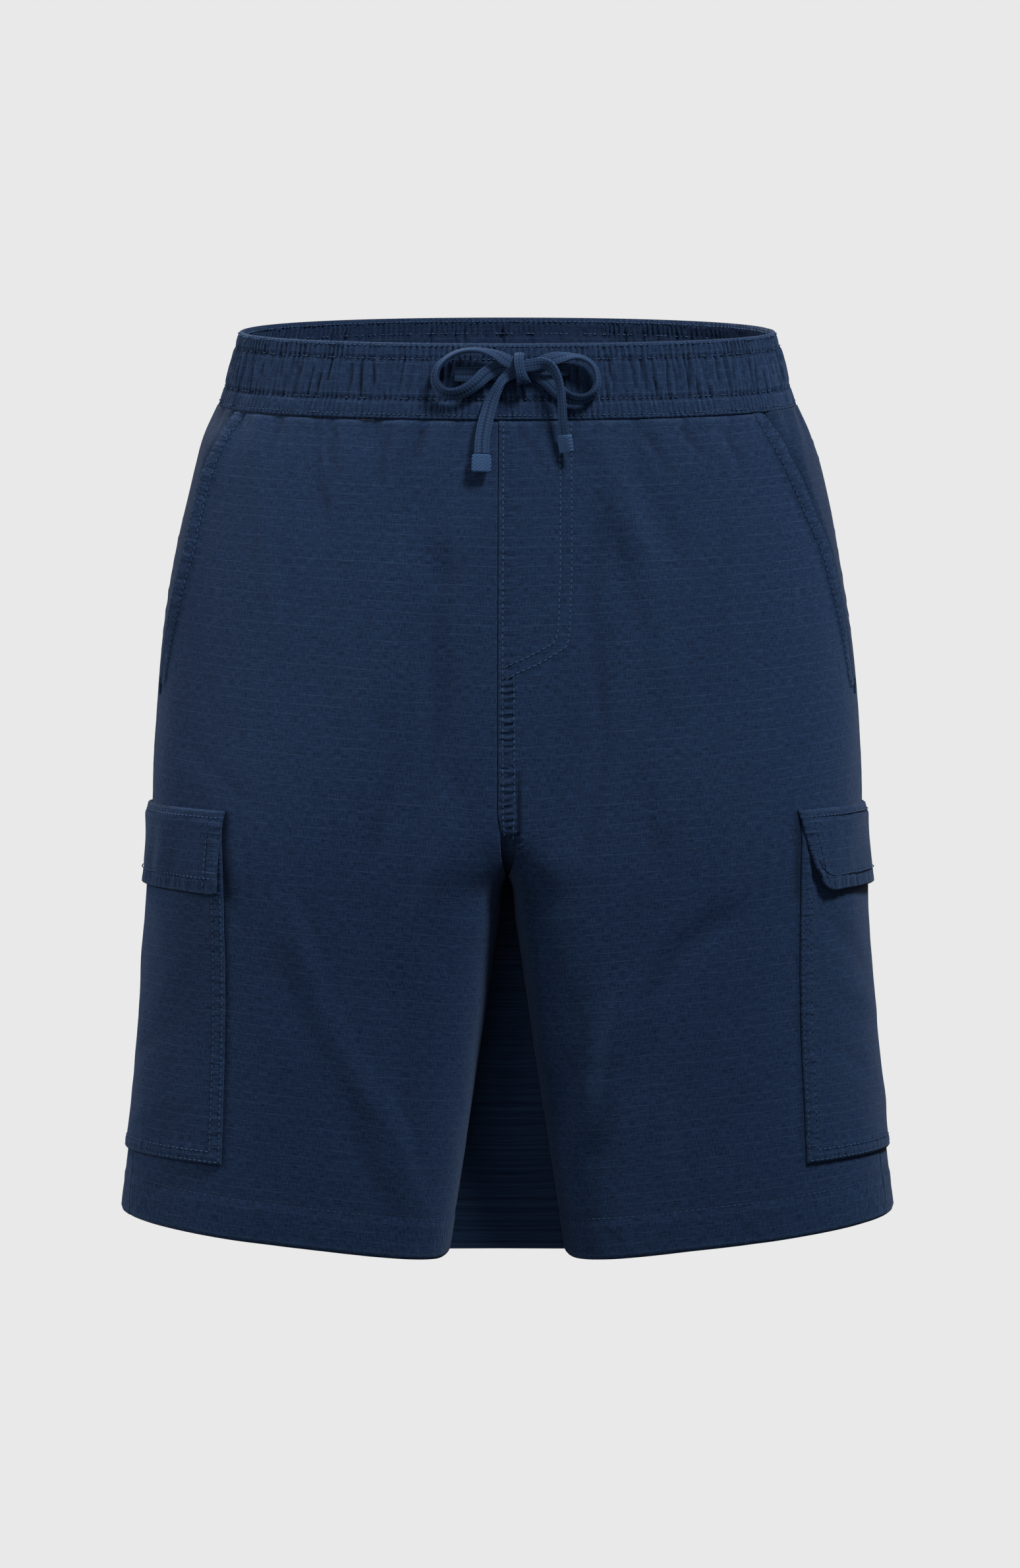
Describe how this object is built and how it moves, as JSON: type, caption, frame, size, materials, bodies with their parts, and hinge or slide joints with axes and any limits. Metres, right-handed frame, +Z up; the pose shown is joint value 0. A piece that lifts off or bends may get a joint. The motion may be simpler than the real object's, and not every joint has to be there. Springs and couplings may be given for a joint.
{
  "type": "cargo shorts",
  "caption": "Knee-length cargo shorts with a gathered elastic waistband, tied drawstring bow, slanted hand pockets and flapped side pockets, filled out as worn.",
  "frame": {"origin": "centre of the waist opening, about half way up the waistband", "axes": "+Z up along the body, +X towards the wearer's left, -Y towards the front"},
  "size_m": [0.435, 0.2498, 0.521],
  "materials": {
    "navy_ripstop": "matt washed cotton ripstop",
    "navy_cord": "matt braided cotton",
    "cord_tip": "matt stitched cotton"
  },
  "bodies": {
    "root": {"front_right": "navy_ripstop", "front_left": "navy_ripstop", "back_right": "navy_ripstop", "back_left": "navy_ripstop", "waistband": "navy_ripstop", "pocket_facing_right": "navy_ripstop", "pocket_facing_left": "navy_ripstop", "cargo_pocket_right": "navy_ripstop", "cargo_pocket_left": "navy_ripstop", "pocket_flap_right": "navy_ripstop", "pocket_flap_left": "navy_ripstop", "drawstring_right": "navy_cord", "drawstring_left": "navy_cord", "bow_knot": "navy_cord", "cord_tip_right": "cord_tip", "cord_tip_left": "cord_tip"}
  },
  "joints": []
}
